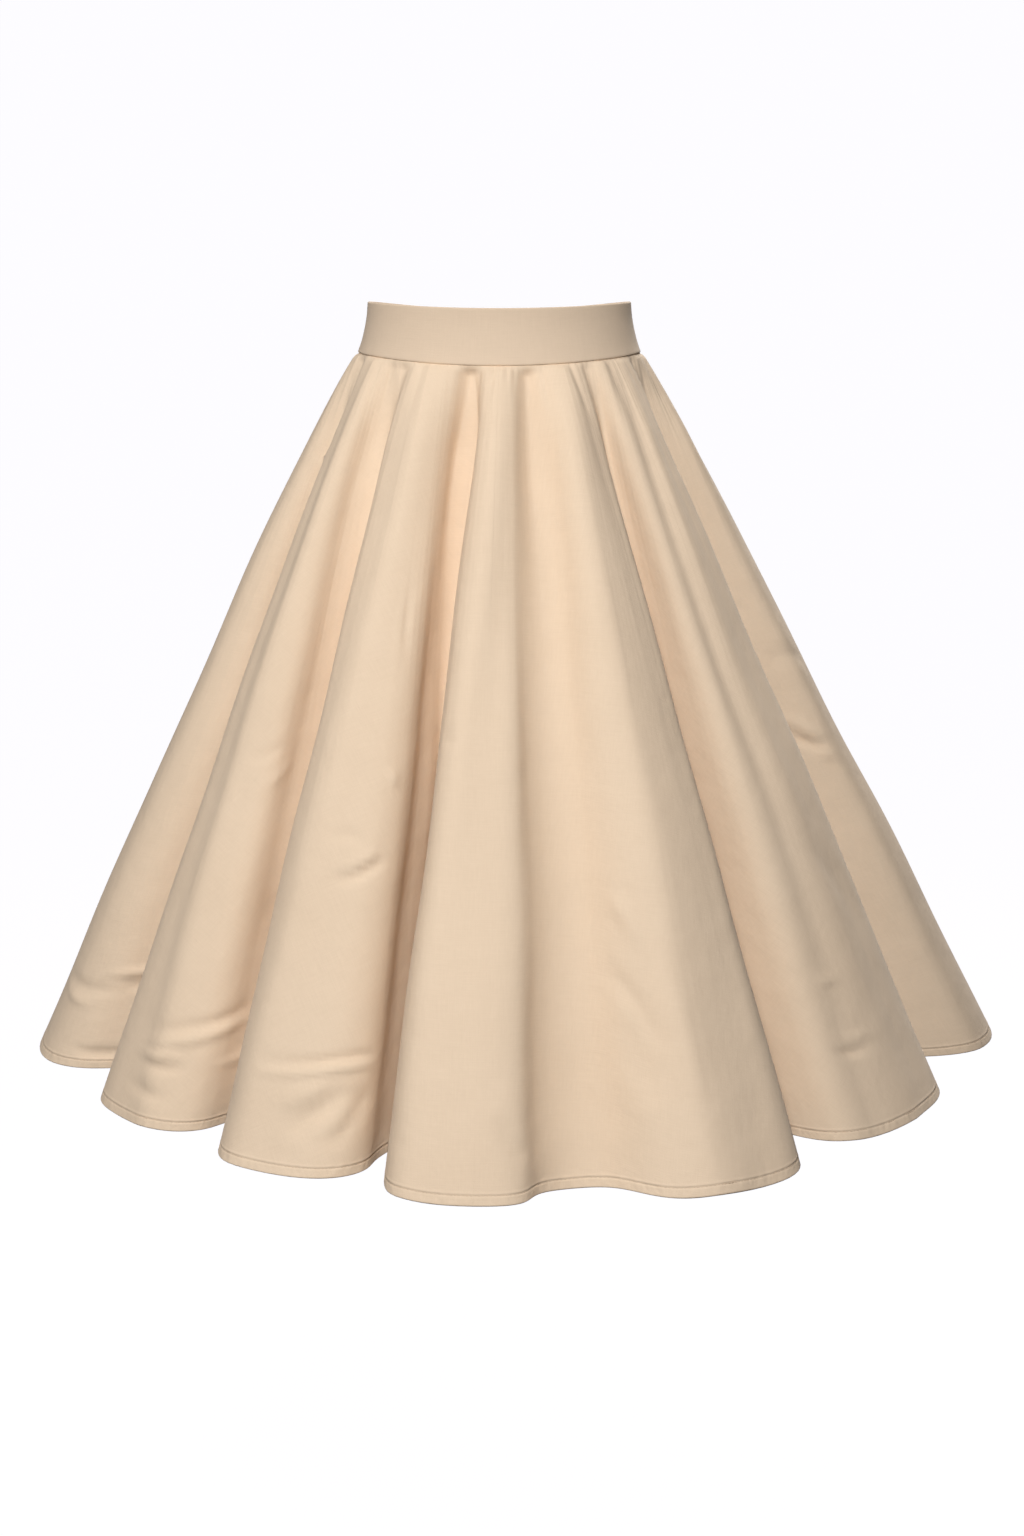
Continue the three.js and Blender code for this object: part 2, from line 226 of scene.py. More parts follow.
def outward(points):
    """The outward direction of a grid of points whose rows run down and columns anticlockwise."""
    fall = np.gradient(points, axis=0)
    along = np.gradient(points, axis=1)
    return unit(np.cross(fall, along))


# Creases


def path_on_skirt(path, count=28):
    """Points on the skirt along a path of (turn, down) places."""
    places = np.array(path, float)
    marks = np.linspace(0, 1, len(places))
    steps = np.linspace(0, 1, count)
    return skirt_surface(soft_steps(steps, marks, places[:, 0]), soft_steps(steps, marks, places[:, 1]))


def near_path(points, line):
    """How far points lie from a line, and how far along it their nearest place is."""
    nearest = np.full(len(points), np.inf)
    place = np.zeros(len(points))
    for index in range(len(line) - 1):
        run = line[index + 1] - line[index]
        offset = points - line[index]
        share = np.clip(offset @ run / (run @ run), 0, 1)
        distance = np.linalg.norm(offset - share[:, None] * run, axis=1)
        closer = distance < nearest
        nearest = np.where(closer, distance, nearest)
        place = np.where(closer, (index + share) / (len(line) - 1), place)
    return nearest, place


def fade_both_ends(place):
    return np.sin(np.pi * place) ** 0.8


def fade_upper_end(place):
    return np.clip(0.25 + 4 * place, 0, 1) * between(1.0, 0.75, place)


def fade_lower_end(place):
    return np.cos(np.pi / 2 * place) ** 1.2


def crease_relief(points, crease, fade):
    """How far one crease lifts (or sinks, where its height is below 0) a grid of points."""
    path, first_width, last_width, height = crease
    line = path_on_skirt(path)
    flat = points.reshape(-1, 3)
    reach = 3 * last_width
    inside = ((flat > line.min(0) - reach) & (flat < line.max(0) + reach)).all(1)
    relief = np.zeros(len(flat))
    distance, place = near_path(flat[inside], line)
    spread = distance / between(first_width, last_width, place)
    profile = (1 - 0.45 * spread**2) * np.exp(-(spread**2))
    relief[inside] = height * profile * fade(place)
    return relief.reshape(points.shape[:2])


# Creases: width, height, then the turn and the thousandths down of each place on it.
CREASES = [
    # Left side lobe: a pinch by its front edge, two light streaks and a dent over the hem.
    (5, 3.7, -5.5, 157, -4.7, 142, -4.2, 132),
    (5, -3.1, -5.3, 140, -4.6, 126, -4.2, 118),
    (4, 2.7, -5.62, 868, -5.5, 862, -5.3, 852),
    (6, -2.5, -5.55, 884, -5.3, 876),
    (4, 2.4, -5.82, 895, -5.74, 908, -5.64, 912),
    (6, -2.0, -5.85, 882, -5.7, 890, -5.55, 888),
    (5, -2.7, -5.66, 975, -5.55, 978, -5.4, 974),
    # Second lobe from the left: one long slanting crease with a light lip under it.
    (6, -2.4, -3.94, 886, -3.80, 872, -3.62, 858, -3.48, 848),
    (5, 2.4, -3.93, 901, -3.80, 889, -3.62, 873, -3.48, 863),
    (4, 3.2, -3.94, 914, -3.87, 913, -3.80, 903),
    (5, -2.5, -3.92, 926, -3.84, 926, -3.76, 918),
    (5, 2.4, -3.64, 920, -3.4, 912, -3.1, 906),
    (5, 1.3, -3.72, 566, -3.60, 546, -3.50, 532),
    (5, -1.5, -3.83, 532, -3.72, 518, -3.62, 506),
    (6, -2.2, -3.95, 955, -3.8, 962),
    (14, -2.6, -3.5, 700, -3.35, 760, -3.3, 800),
    # Third lobe: a thin level streak, slants over the hem and a fan of creases halfway down.
    (3.6, 3.2, -2.08, 889, -1.95, 880, -1.82, 872, -1.66, 872),
    (5, -3.1, -2.06, 877, -1.93, 867, -1.80, 860, -1.66, 860),
    (9, -4.2, -1.80, 895, -1.91, 928, -1.95, 958),
    (8, -3.5, -1.68, 900, -1.77, 934, -1.85, 966),
    (9, 2.6, -1.87, 885, -2.00, 925),
    (8, 2.3, -1.73, 912, -1.86, 955),
    (5, -3.7, -1.97, 655, -1.84, 640, -1.72, 622),
    (5, 2.7, -1.95, 640, -1.85, 627, -1.76, 612),
    (5, -2.2, -1.99, 606, -1.93, 596, -1.85, 603),
    (5, 2.4, -1.75, 515, -1.70, 540),
    (3.5, -1.4, -1.74, 290, -1.75, 336, -1.72, 385),
    # Wide front lobe: soft slants between its two crests.
    (8, 2.2, 1.45, 655, 1.62, 680, 1.78, 712),
    (9, -2.6, 1.25, 745, 1.50, 762, 1.70, 800, 1.80, 840),
    (14, -2.3, 1.50, 800, 1.62, 850, 1.68, 900),
    (14, 2.3, 1.85, 700, 1.93, 800, 1.97, 900),
    (10, -1.7, 0.10, 900, 0.22, 935, 0.42, 955),
    (7, -1.5, -0.22, 460, -0.14, 480),
    # Right lobes: small dents.
    (4, 2.4, 3.79, 806, 3.86, 808),
    (4, -3.1, 3.76, 888, 3.82, 897, 3.88, 896),
    (5, 2.0, 3.83, 876, 3.90, 884),
    (12, -2.2, 3.90, 620, 4.00, 700, 4.02, 780),
    (5, -3.1, 5.50, 428, 5.66, 421, 5.82, 428),
    (5, -3.4, 5.45, 520, 5.52, 540, 5.62, 556),
    (6, 2.4, 5.50, 505, 5.60, 530, 5.68, 540),
    (5, 1.7, 5.58, 560, 5.70, 566),
    # Back right: slants by the side, a pinch on the second crest, dents over the hem.
    (7, -3.1, 6.2, 300, 6.5, 330, 6.75, 350),
    (7, -4.2, 6.4, 710, 6.65, 690, 6.9, 660),
    (6, 2.7, 6.42, 730, 6.66, 712, 6.88, 690),
    (6, -3.7, 7.6, 880, 7.8, 895, 8.0, 905),
    (6, -2.9, 7.7, 530, 7.9, 500, 8.1, 490),
    (9, -3.5, 8.1, 930, 8.25, 900, 8.32, 870),
    (6, -3.4, 9.7, 600, 9.9, 630, 10.15, 640),
    (5, 3.1, 9.85, 860, 10.05, 850, 10.2, 830),
    (5, -2.7, 9.8, 842, 10.0, 834, 10.2, 818),
    (8, -2.9, 10.35, 920, 10.2, 950, 10.1, 965),
    (7, -3.2, 11.4, 800, 11.6, 770, 11.75, 760),
    # Back left: fewer and longer, uneven in length and slant.
    (7, -3.6, 12.3, 640, 12.5, 670, 12.65, 710),
    (5, 2.7, 12.25, 900, 12.45, 915, 12.6, 910),
    (6, -3.1, 13.7, 560, 13.9, 540, 14.15, 545),
    (7, -4.2, 13.8, 790, 14.0, 810, 14.25, 820),
    (6, 2.5, 13.85, 810, 14.05, 832, 14.25, 842),
    (8, -2.6, 14.3, 920, 14.2, 950, 14.15, 970),
    (6, -3.7, 15.8, 700, 16.0, 680, 16.2, 670),
    (6, -2.2, 15.9, 400, 16.1, 430),
    (5, 3.1, 15.75, 900, 15.95, 890, 16.1, 870),
    (8, -2.9, 16.3, 940, 16.15, 910, 16.1, 880),
    (8, -2.9, 17.5, 740, 17.7, 780, 17.8, 830),
    (6, -2.5, 17.6, 360, 17.8, 340),
]

# Soft ridges and troughs that run the length of the folds: width under the seam, width at the hem,
# height, then places as above.
RIDGES = [
    (10, 20, 2.0, -5.54, 0, -5.48, 300, -5.55, 700, -5.6, 1000),
    (11, 20, 5.6, -3.85, 0, -3.88, 300, -3.91, 600, -3.85, 1000),
    (13, 30, -9.5, -3.20, 0, -3.42, 200, -3.46, 500, -3.50, 1000),
    (13, 26, 6.0, -1.88, 0, -1.94, 200, -2.03, 500, -2.10, 1000),
    (13, 28, -8.5, -1.22, 0, -1.24, 200, -1.38, 500, -1.54, 1000),
    (9, 12, -4.0, -1.00, 0, -1.00, 300, -1.02, 1000),
    (13, 26, 6.0, 0.02, 0, -0.06, 250, -0.16, 600, -0.18, 1000),
    (14, 40, -11.5, 1.03, 0, 1.00, 250, 0.97, 600, 0.94, 1000),
    (14, 30, 7.0, 2.05, 0, 1.90, 200, 1.98, 600, 2.00, 1000),
    (8, 18, -2.2, 2.24, 0, 2.20, 250, 2.16, 600, 2.10, 1000),
    (11, 22, 5.2, 3.36, 0, 3.56, 200, 3.68, 500, 3.70, 1000),
    (7, 14, -2.6, 3.79, 0, 3.78, 250, 3.84, 600, 3.83, 1000),
    (8, 18, 3.4, 3.98, 0, 3.91, 200, 3.93, 600, 3.94, 1000),
    (10, 18, 3.2, 5.78, 0, 5.63, 200, 5.69, 500, 5.70, 1000),
    (10, 22, -3.0, 6.35, 0, 6.30, 400, 6.38, 1000),
    (11, 22, 4.8, 7.55, 0, 7.70, 300, 7.72, 1000),
    (10, 22, -4.2, 8.20, 0, 8.30, 400, 8.34, 1000),
    (11, 24, 4.4, 9.80, 0, 9.92, 350, 9.90, 1000),
    (10, 20, -4.6, 10.35, 0, 10.30, 300, 10.38, 1000),
    (10, 22, 3.6, 11.60, 200, 11.72, 500, 11.70, 1000),
    (10, 20, -3.2, 12.30, 200, 12.34, 550, 12.30, 1000),
    (11, 23, 4.9, 13.65, 0, 13.72, 300, 13.80, 1000),
    (10, 22, -4.0, 14.30, 0, 14.36, 400, 14.33, 1000),
    (11, 24, 4.7, 15.80, 0, 15.92, 300, 15.88, 1000),
    (10, 20, -4.4, 16.40, 0, 16.33, 350, 16.40, 1000),
    (10, 22, 3.4, 17.50, 0, 17.70, 400, 17.66, 1000),
]

# Where folds start under the waist seam, and the small gathers between them, written like the
# creases: they fade downwards.
PUCKERS = [
    (8, -3.6, -4.70, 0, -4.60, 80, -4.75, 220),
    (9, -4.6, -2.55, 0, -2.80, 100, -3.25, 260),
    (10, -5.6, -1.16, 0, -1.16, 80, -1.20, 320),
    (9, -5.6, 0.96, 0, 0.92, 80, 0.90, 340),
    (7, -3.6, 2.66, 0, 2.80, 60, 3.15, 240),
    (8, -2.8, 4.50, 0, 4.90, 90, 4.98, 240),
    (4.5, -1.1, -3.75, 0, -3.72, 70),
    (4.5, -1.3, -3.25, 0, -3.32, 80),
    (4.5, -1.0, -2.02, 0, -2.02, 75),
    (3.5, -1.2, -0.62, 0, -0.72, 50),
    (3.5, -1.5, -0.10, 0, -0.22, 60),
    (3, -1.0, 0.20, 0, 0.14, 35),
    (3, -1.1, 0.48, 0, 0.42, 40),
    (3.5, -1.4, 1.42, 0, 1.52, 65),
    (4, -1.5, 2.12, 0, 2.32, 90),
    (4.5, -1.6, 3.62, 0, 3.66, 90),
    (4, -0.9, 4.10, 0, 4.12, 70),
    (5, -1.2, 5.60, 0, 5.55, 80),
    (8, -3.2, 6.95, 0, 7.0, 200),
    (4.5, -1.2, 6.4, 0, 6.45, 60),
    (4, -1.3, 7.7, 0, 7.72, 70),
    (3.5, -1.0, 8.3, 0, 8.35, 50),
    (8, -3.4, 8.95, 0, 9.0, 220),
    (3.5, -1.3, 9.7, 0, 9.68, 50),
    (4, -1.1, 10.25, 0, 10.3, 80),
    (7, -2.9, 11.0, 0, 11.0, 180),
    (7, -3.0, 13.0, 0, 13.0, 200),
    (3.5, -1.2, 13.65, 0, 13.7, 60),
    (4, -1.4, 14.3, 0, 14.28, 80),
    (8, -3.3, 15.05, 0, 15.0, 210),
    (3.5, -1.0, 15.7, 0, 15.72, 50),
    (4.5, -1.3, 16.3, 0, 16.26, 70),
    (8, -3.1, 16.95, 0, 17.0, 190),
    (4, -1.1, 17.6, 0, 17.58, 60),
]


def every_crease():
    """Each crease's widths at its two ends, height, places and fade."""
    for table, fade in ((CREASES, fade_both_ends), (PUCKERS, fade_lower_end)):
        for width, height, *places in table:
            yield (width, width), height, places, fade
    for first_width, last_width, height, *places in RIDGES:
        yield (first_width, last_width), height, places, fade_upper_end


def soft_unevenness(turn, down):
    """Slow waves of a millimetre or so that keep the cloth from lying perfectly even."""
    free = np.sin(np.pi * np.clip(down, 0, 1)) ** 0.5
    waves = (
        0.8 * np.sin(2.1 * turn + 9.0 * down + 0.4)
        + 0.6 * np.sin(3.7 * turn - 14.0 * down + 1.9)
        + 0.45 * np.sin(1.3 * turn + 23.0 * down + 3.1)
        + 0.3 * np.sin(5.9 * turn + 17.0 * down + 5.0)
    )
    return free * waves


def calm_by_zip(surface, downs):
    """1 over most of the skirt, falling to 0 where the zip holds the cloth smooth."""
    beside = np.exp(-((surface[..., 0] / 20) ** 4)) * (surface[..., 1] > 0)
    return 1 - beside * np.clip((0.26 - downs) / 0.04, 0, 1)


def skirt_relief(surface, turns, downs):
    """How far the cloth lies off its smooth form: slow waves, creases and gathers."""
    relief = soft_unevenness(turns, downs)
    low, high = turns.min() - 0.6, turns.max() + 0.6
    for widths, height, places, fade in every_crease():
        if low < places[0] < high:
            path = [(turn, down / 1000) for turn, down in zip(places[::2], places[1::2])]
            relief += crease_relief(surface, (path, *widths, height), fade)
    return relief * np.clip(downs * SLANT / 5, 0, 1) * calm_by_zip(surface, downs)


# Meshes


def rounded(distance, radius):
    """How far a face turns in at a distance from a round edge."""
    short = np.clip(radius - distance, 0, radius)
    return radius - np.sqrt(radius**2 - short**2)


def bell(distance, width):
    return np.exp(-((distance / width) ** 2))


def new_piece(name, vertices, faces, material):
    mesh = bpy.data.meshes.new(name)
    mesh.from_pydata((vertices * MM).tolist(), [], faces)
    mesh.materials.append(material)
    mesh.shade_smooth()
    piece = bpy.data.objects.new(name, mesh)
    bpy.context.scene.collection.objects.link(piece)
    return piece


def grid_faces(corners):
    """Faces of a grid whose rows run down and columns run anticlockwise, facing out."""
    sides = [corners[:-1, :-1], corners[1:, :-1], corners[1:, 1:], corners[:-1, 1:]]
    return np.stack([side.ravel() for side in sides], axis=1).tolist()


def cloth_shell(name, outer, inner, material, cut, inner_rows=None):
    """A closed piece of cloth from its outer and inner grids. The inner face may use fewer rows.
    cut holds each grid point's place on the flat pattern, in metres, and becomes a UV map."""
    rows, columns = outer.shape[:2]
    kept = np.arange(rows) if inner_rows is None else inner_rows
    out = np.arange(rows * columns).reshape(rows, columns)
    inn = rows * columns + np.arange(len(kept) * columns).reshape(len(kept), columns)
    faces = grid_faces(out)
    faces += [face[::-1] for face in grid_faces(inn)]
    for column in range(columns - 1):
        faces.append([out[0, column], out[0, column + 1], inn[0, column + 1], inn[0, column]])
        faces.append([out[-1, column + 1], out[-1, column], inn[-1, column], inn[-1, column + 1]])
    for step, (high, low) in enumerate(zip(kept[:-1], kept[1:])):
        start = [inn[step, 0], inn[step + 1, 0], *out[high:low + 1, 0][::-1]]
        end = [inn[step + 1, -1], inn[step, -1], *out[high:low + 1, -1]]
        faces += [start, end]
    vertices = np.concatenate([outer.reshape(-1, 3), inner[kept].reshape(-1, 3)])
    faces = [[int(corner) for corner in face] for face in faces]
    piece = new_piece(name, vertices, faces, material)
    lay_pattern(piece, np.concatenate([cut.reshape(-1, 2), cut[kept].reshape(-1, 2)]))
    return piece


def lay_pattern(piece, places):
    """Gives each corner of a mesh its place on the flat pattern, as a UV map."""
    loops = np.zeros(len(piece.data.loops), np.int32)
    piece.data.loops.foreach_get("vertex_index", loops)
    layer = piece.data.uv_layers.new(name="cut")
    layer.uv.foreach_set("vector", places[loops].astype(np.float32).ravel())


def panel_columns(first, last, per_stretch=36):
    """Column places between two folds, closer together by the panel's own edges."""
    even = np.linspace(first, last, (last - first) * per_stretch + 1)
    by_edge = [0.005, 0.012, 0.022]
    extra = [first + step for step in by_edge] + [last - step for step in by_edge]
    return np.sort(np.concatenate([even, extra]))


def panel_rows():
    """Row places down the skirt, from just inside the waistband: closer under the waist seam, where
    creases lie and at the hem."""
    spans = [(0, 70, 27), (70, 340, 36), (340, 480, 28), (480, 580, 14), (580, 708, 34)]
    body = [np.linspace(start, end, count + 1)[:-1] for start, end, count in spans]
    above_hem = SLANT - np.array([17, 13, 10.5, 9.2, 8.6, 6, 3.4, 2, 1.1, 0.6, 0.25, 0])
    under_band = [-1.8, -0.9]
    rows = np.concatenate([under_band, *body, above_hem]) / SLANT
    single = np.concatenate([np.arange(4), np.arange(5, len(rows) - len(above_hem), 3)])
    kept = np.concatenate([single, np.arange(len(rows) - len(above_hem), len(rows))])
    return rows, kept


def pattern_places(turns, downs, middle_fold):
    """Places on the flat cut, in metres, with the grain straight down the middle fold."""
    stretch, length = hem_length(turns)
    starts = np.concatenate([[0], np.cumsum(HEM_LENGTHS[:, -1])])
    laps = np.floor(turns / len(FOLDS)) * starts[-1]
    run = laps + starts[stretch] + length - starts[middle_fold]
    angle = run / (WAIST_CUT_RADIUS + SLANT)
    radius = (WAIST_CUT_RADIUS + downs * SLANT) * MM
    return np.stack([radius * np.sin(angle), -radius * np.cos(angle)], axis=-1)


def seam_fall(from_seams):
    """How deep cloth turns in at a pressed seam."""
    return 0.9 * bell(from_seams, 1.6)


def from_edges(surface):
    """The distance of each grid point from the nearer end of its row."""
    return np.minimum(
        np.linalg.norm(surface - surface[:, :1], axis=-1),
        np.linalg.norm(surface - surface[:, -1:], axis=-1),
    )


def open_slit(surface, turns, middle, half_gap):
    """Moves the cloth just beside the centre back off it, to leave a slit for the zip."""
    if abs(turns - middle).min() > 0.001:
        return surface
    along = unit(np.gradient(surface, axis=1))
    away = np.sign(turns - middle)
    away = np.where(away == 0, np.sign(turns.mean() - middle), away)
    distance = np.linalg.norm(surface - surface[:, :1], axis=-1)
    if turns.mean() < middle:
        distance = np.linalg.norm(surface - surface[:, -1:], axis=-1)
    return surface + along * (away * half_gap * bell(distance, 4.0))[..., None]


def lowest_near(relief, rows):
    """Each point's lowest relief within some rows and one column, so that a plainer inner face
    stays inside the outer one."""
    lowest = relief.copy()
    for step in range(1, rows + 1):
        lowest[step:] = np.minimum(lowest[step:], relief[:-step])
        lowest[:-step] = np.minimum(lowest[:-step], relief[step:])
    beside = lowest.copy()
    lowest[:, 1:] = np.minimum(lowest[:, 1:], beside[:, :-1])
    lowest[:, :-1] = np.minimum(lowest[:, :-1], beside[:, 1:])
    return lowest


def skirt_panel(name, first, last, middle_fold, material):
    """One cut panel as a thin shell on the smooth form, with creases and a turned-up hem."""
    rows, kept = panel_rows()
    turns, downs = np.meshgrid(panel_columns(first, last), rows)
    surface = skirt_surface(turns, downs)
    relief = skirt_relief(surface, turns, downs)
    half_gap = HALF_SLIT * np.clip((ZIP_FOOT_DOWN - downs) / 0.01, 0, 1)
    surface = open_slit(surface, turns, CENTRE_BACK_FOLD, half_gap)
    out = outward(surface)
    from_hem = (1 - downs) * SLANT
    turned_in = seam_fall(from_edges(surface)) + 1.3 * bell(downs * SLANT, 2.0)
    wall = np.where(from_hem < HEM_TURN_UP, HEM_WALL, CLOTH_WALL)
    fold_over = rounded(from_hem, wall / 2)
    outer = surface + out * (relief - turned_in - fold_over)[..., None]
    inner_relief = lowest_near(relief, 3)
    inner = surface + out * (inner_relief - turned_in - wall + fold_over)[..., None]
    cut = pattern_places(turns, downs, middle_fold)
    return cloth_shell(name, outer, inner, material, cut, kept)


def seam_allowance(name, fold, side, top, material):
    """The raw edge of a seam, pressed back inside the panel and sewn over: a narrow double strip."""
    lengths = np.linspace(top * SLANT, SLANT - 10, 120)
    across = np.array([0.4, 1.5, 3.5, 6.0, 8.5, 10.4, 11.0])
    downs = lengths / SLANT
    probe = 0.002
    ahead = skirt_surface(np.full_like(downs, fold + side * probe), downs)
    at_seam = skirt_surface(np.full_like(downs, float(fold)), downs)
    per_turn = np.linalg.norm(ahead - at_seam, axis=-1) / probe
    turns = fold + side * across[None, :] / per_turn[:, None]
    if side < 0:
        turns = turns[:, ::-1]
    spread = across if side > 0 else across[::-1]
    downs = np.broadcast_to(downs[:, None], turns.shape)
    surface = skirt_surface(turns, downs)
    relief = skirt_relief(surface, turns, downs)
    depth = CLOTH_WALL + 0.25 + seam_fall(spread)[None, :] - relief
    depth = depth + 0.5 * bell(spread - 11.0, 1.2)[None, :]
    wall = 0.7 - 2 * rounded(np.minimum(spread - 0.4, 11.0 - spread), 0.33)[None, :]
    out = outward(surface)
    outer = surface - out * depth[..., None]
    inner = surface - out * (depth + wall)[..., None]
    places = np.broadcast_to(spread[None, :] * MM, turns.shape)
    cut = np.stack([places, np.broadcast_to(lengths[:, None] * MM, turns.shape)], axis=-1)
    return cloth_shell(name, outer, inner, material, cut)


def band_piece(name, first, last, columns, material):
    """One length of the folded waistband, with a round top edge and a lower edge that turns in."""
    by_top = [0, 0.1, 0.35, 0.7, 1.1, 1.8]
    by_seam = [44.2, 45.8, 46.9, 47.7, 48]
    lengths = np.concatenate([by_top, np.linspace(3, 42, 22), by_seam])
    by_end = np.radians([0.12, 0.3, 0.6])
    ends = np.radians([first, last])
    even = np.linspace(*ends, columns)
    places = np.sort(np.concatenate([even, ends[0] + by_end, ends[1] - by_end]))
    angles, downs = np.meshgrid(places, lengths / BAND_HEIGHT)
    surface = band_surface(angles, downs)
    surface = open_slit(surface, angles, math.pi, HALF_SLIT)
    out = outward(surface)
    from_top = downs * BAND_HEIGHT
    folded = rounded(from_top, BAND_WALL / 2)
    turned_in = rounded(BAND_HEIGHT - from_top, 1.2) + 0.7 * bell(from_edges(surface), 0.9)
    pulls = 0.16 * np.sin(38 * angles + 1.0) * bell(BAND_HEIGHT - from_top, 9.0) * np.sin(7 * angles) ** 2
    outer = surface - out * (folded + turned_in + pulls)[..., None]
    inner = surface - out * (BAND_WALL - folded)[..., None]
    cut = np.stack([angles * 0.111, -from_top * MM], axis=-1)
    return cloth_shell(name, outer, inner, material, cut)


def hem_thread(name, material):
    """The hem's row of small sunk stitches."""
    round_hem = np.concatenate([[0], np.cumsum(HEM_LENGTHS[:, -1])])
    count = int(round_hem[-1] / 3.2)
    down = 1 - HEM_STITCH_UP / SLANT
    fine = np.linspace(0, len(FOLDS), len(FOLDS) * HEM_STEPS + 1)
    whole = np.floor(np.clip(fine, 0, len(FOLDS) - 1e-9)).astype(int)
    step = np.round((fine - whole) * HEM_STEPS).astype(int)
    runs = round_hem[whole] + HEM_LENGTHS[whole, step]
    along = np.array([-1.25, -0.9, 0.0, 0.9, 1.25])
    thick = np.array([0.04, 0.15, 0.19, 0.15, 0.04])
    sunk = np.array([0.22, 0.06, -0.02, 0.06, 0.22])
    centres = (np.arange(count) + 0.5) * round_hem[-1] / count
    turns = np.interp(centres[:, None] + along[None, :], runs, fine)
    turns = np.where(turns > LEFT_SIDE_FOLD, turns - len(FOLDS), turns)
    downs = np.full_like(turns, down)
    surface = skirt_surface(turns, downs)
    lifted = skirt_surface(turns, downs - 0.004)
    forward = skirt_surface(turns + 0.002, downs)
    fall = unit(surface - lifted)
    run = unit(forward - surface)
    out = unit(np.cross(fall, run))
    relief = skirt_relief(surface, turns, downs)
    line = surface + out * (relief - sunk)[..., None]
    sides = np.arange(5) * 2 * math.pi / 5
    ring = np.cos(sides)[:, None] * out[:, :, None] + np.sin(sides)[:, None] * fall[:, :, None]
    rings = line[:, :, None] + ring * thick[None, :, None, None]
    vertices = rings.reshape(-1, 3)
    faces = []
    for stitch in range(count):
        first = stitch * 25
        for part in range(4):
            for side in range(5):
                a = first + part * 5 + side
                b = first + part * 5 + (side + 1) % 5
                faces.append([a, b, b + 5, a + 5])
    return new_piece(name, vertices, faces, material)


# Zip


def band_place(round_back, length):
    """The waistband's outer face, at distances round from the centre back."""
    down = length / BAND_HEIGHT
    return band_surface(math.pi + round_back / soft_steps(down, BAND_DOWN, BAND_HALF_WIDTH), down)


def skirt_place(round_back, length):
    """The skirt's outer face, at distances round from the centre back."""
    middle = np.full_like(length, float(CENTRE_BACK_FOLD))
    seam, hem = skirt_surface(np.full(2, float(CENTRE_BACK_FOLD)), np.array([0.0, 1.0]))
    slant = np.linalg.norm(hem - seam)
    down = np.clip((length - BAND_HEIGHT) / slant, 0, 1)
    step = 0.002
    ahead = skirt_surface(middle + step, down)
    behind = skirt_surface(middle - step, down)
    per_turn = np.linalg.norm(ahead - behind, axis=-1) / (2 * step)
    return skirt_surface(middle + round_back / per_turn, down)


def centre_back_face(round_back, length):
    on_band = (length <= BAND_HEIGHT)[..., None]
    return np.where(on_band, band_place(round_back, length), skirt_place(round_back, length))


def inside_centre_back(round_back, length, depth):
    """Points inside the centre back: distances round from it, lengths down from the waistband's
    top edge and depths under the outer face."""
    round_back, length, depth = [np.array(x, float) for x in np.broadcast_arrays(round_back, length, depth)]
    step = 0.5
    fall = centre_back_face(round_back, length + step) - centre_back_face(round_back, length - step)
    along = centre_back_face(round_back + step, length) - centre_back_face(round_back - step, length)
    out = unit(np.cross(fall, along))
    return centre_back_face(round_back, length) - out * depth[..., None]


def zip_tape(name, side, material):
    """A woven tape with a rolled inner edge, a ribbed selvedge and one sewing line."""
    lengths = np.concatenate([[0, 0.3], np.linspace(1.5, ZIP_LENGTH + TAPE_WIDTH - TAPE_TOP - 1.5, 110)])
    lengths = TAPE_TOP + np.append(lengths, [lengths[-1] + 1.2, lengths[-1] + 1.5])
    across = np.array([0, 0.12, 0.4, 1.0, 1.8, 3.2, 4.4, 4.8, 5.2, 7.0, 9.2, 10.2, 10.9, 11.3, 11.5])
    thin = 0.3 * bell(across, 0.35) + 0.3 * bell(TAPE_WIDTH - across, 0.35) + 0.12 * bell(across - 4.8, 0.3)
    round_back = side * (HALF_SLIT + across)
    if side < 0:
        round_back, thin, across = round_back[::-1], thin[::-1], across[::-1]
    ripple = 0.05 * np.sin(lengths[:, None] * 0.21 + across[None, :] * 0.3)
    depth = TAPE_DEPTH + thin[None, :] + ripple
    wall = TAPE_WALL - 2 * thin[None, :] + 0 * lengths[:, None]
    outer = inside_centre_back(round_back[None, :], lengths[:, None], depth)
    inner = inside_centre_back(round_back[None, :], lengths[:, None], depth + wall)
    places = np.broadcast_arrays(across[None, :] * MM, -lengths[:, None] * MM)
    return cloth_shell(name, outer, inner, material, np.stack(places, axis=-1))


def coil_of_teeth(side):
    """One side's nylon coil: a flattened spring whose loops lie between those of the other side."""
    pitch = 1.3
    turns_of_coil = int((ZIP_LENGTH - TEETH_TOP - 1) / pitch)
    steps = np.arange(turns_of_coil * 12 + 1) / 12
    angle = 2 * math.pi * steps
    offset = 0.25 if side > 0 else 0.75
    lengths = TEETH_TOP + 0.5 + (steps + offset) * pitch
    round_back = side * (0.42 - 0.86 * np.cos(angle))
    depth = TEETH_DEPTH + 0.4 * np.sin(angle)
    line = inside_centre_back(round_back, lengths, depth)
    run = unit(np.gradient(line, axis=0))
    aside = unit(np.cross(run, np.array([0.0, 0.5, -1.0])))
    beside = np.cross(run, aside)
    sides = np.arange(6) * math.pi / 3
    ring = np.cos(sides)[:, None] * aside[:, None] + np.sin(sides)[:, None] * beside[:, None]
    return line[:, None] + 0.19 * ring


